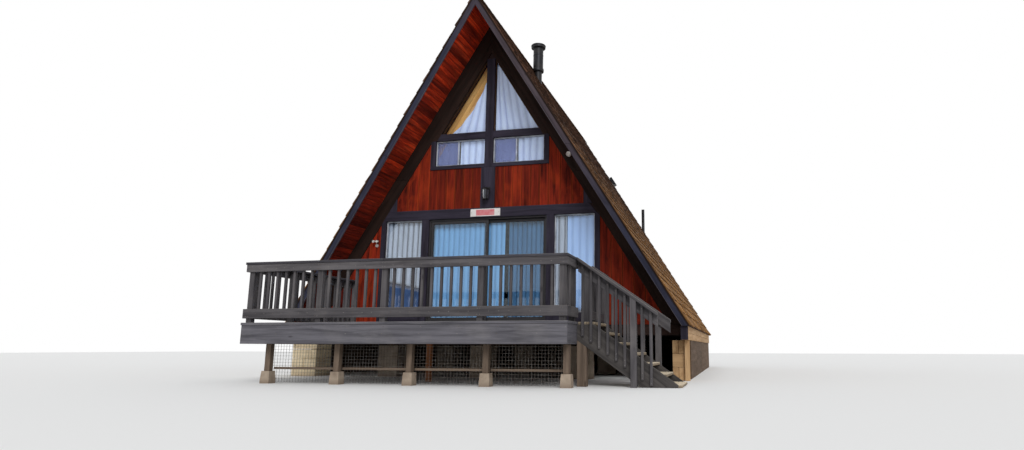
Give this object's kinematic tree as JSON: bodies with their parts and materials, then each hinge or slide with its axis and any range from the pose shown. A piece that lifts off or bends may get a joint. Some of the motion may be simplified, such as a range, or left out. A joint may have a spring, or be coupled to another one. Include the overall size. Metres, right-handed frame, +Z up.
{
  "type": "a-frame cabin",
  "caption": "Steep-roofed A-frame cabin with a glazed gable front, sliding patio door, raised timber deck with guard rail and a side stair.",
  "frame": {"origin": "ground level under the middle of the front gable wall's outer face, on the bottom of the front middle pier", "axes": "+X along the front to the right as seen from outside, +Y into the house, +Z up"},
  "size_m": [7.9238, 11.617, 7.92],
  "materials": {
    "timber_grey": "weathered",
    "timber_dark": "dark stain",
    "siding_red": "red-brown stain",
    "timber_tan": "bare, matte",
    "shingle": "weathered",
    "pier_stone": "rough",
    "block_beige": "rough",
    "wire": "dull galvanised",
    "frame_light": "mill finish",
    "door_dark": "satin",
    "glazing": "clear",
    "cloth": "plain weave",
    "black_metal": "satin",
    "lamp_white": "gloss",
    "plate_face": "satin"
  },
  "bodies": {
    "house": {"deck_piers": "pier_stone", "deck_posts": "timber_grey", "deck_beams": "timber_grey", "rim_front": "timber_grey", "rim_sides": "timber_grey", "joists": "timber_grey", "deck_boards": "timber_grey", "rail_posts": "timber_grey", "rail_front": "timber_grey", "rail_sides": "timber_grey", "mesh_skirt": "wire", "stringers": "timber_dark", "treads": "timber_tan", "stair_rail_front": "timber_grey", "stair_rail_rear": "timber_grey", "stair_posts": "timber_grey", "house_piers": "pier_stone", "girders": "timber_tan", "side_beams": "timber_tan", "crib_right": "timber_tan", "crib_left": "block_beige", "skirt_panels": "timber_tan", "floor": "timber_tan", "wall_left": "siding_red", "wall_right": "siding_red", "wall_over": "siding_red", "rear_wall": "siding_red", "roof_left": "shingle", "roof_right": "shingle", "barges": "timber_dark", "ridge_cap": "shingle", "gable_trim": "timber_dark", "window_frames": "frame_light", "window_glass": "glazing", "door_frame": "door_dark", "curtains_upper": "cloth", "curtains_lower": "cloth", "lantern": "black_metal", "floodlights": "lamp_white", "plate": "plate_face", "chimney": "black_metal", "vents": "black_metal"},
    "door": {"door_panel": "door_dark", "door_glass": "glazing"}
  },
  "joints": [
    {"name": "door_slide", "type": "slide", "parent": "house", "child": "door", "axis": [-1, 0, 0], "range_m": [0, 1.05]}
  ]
}
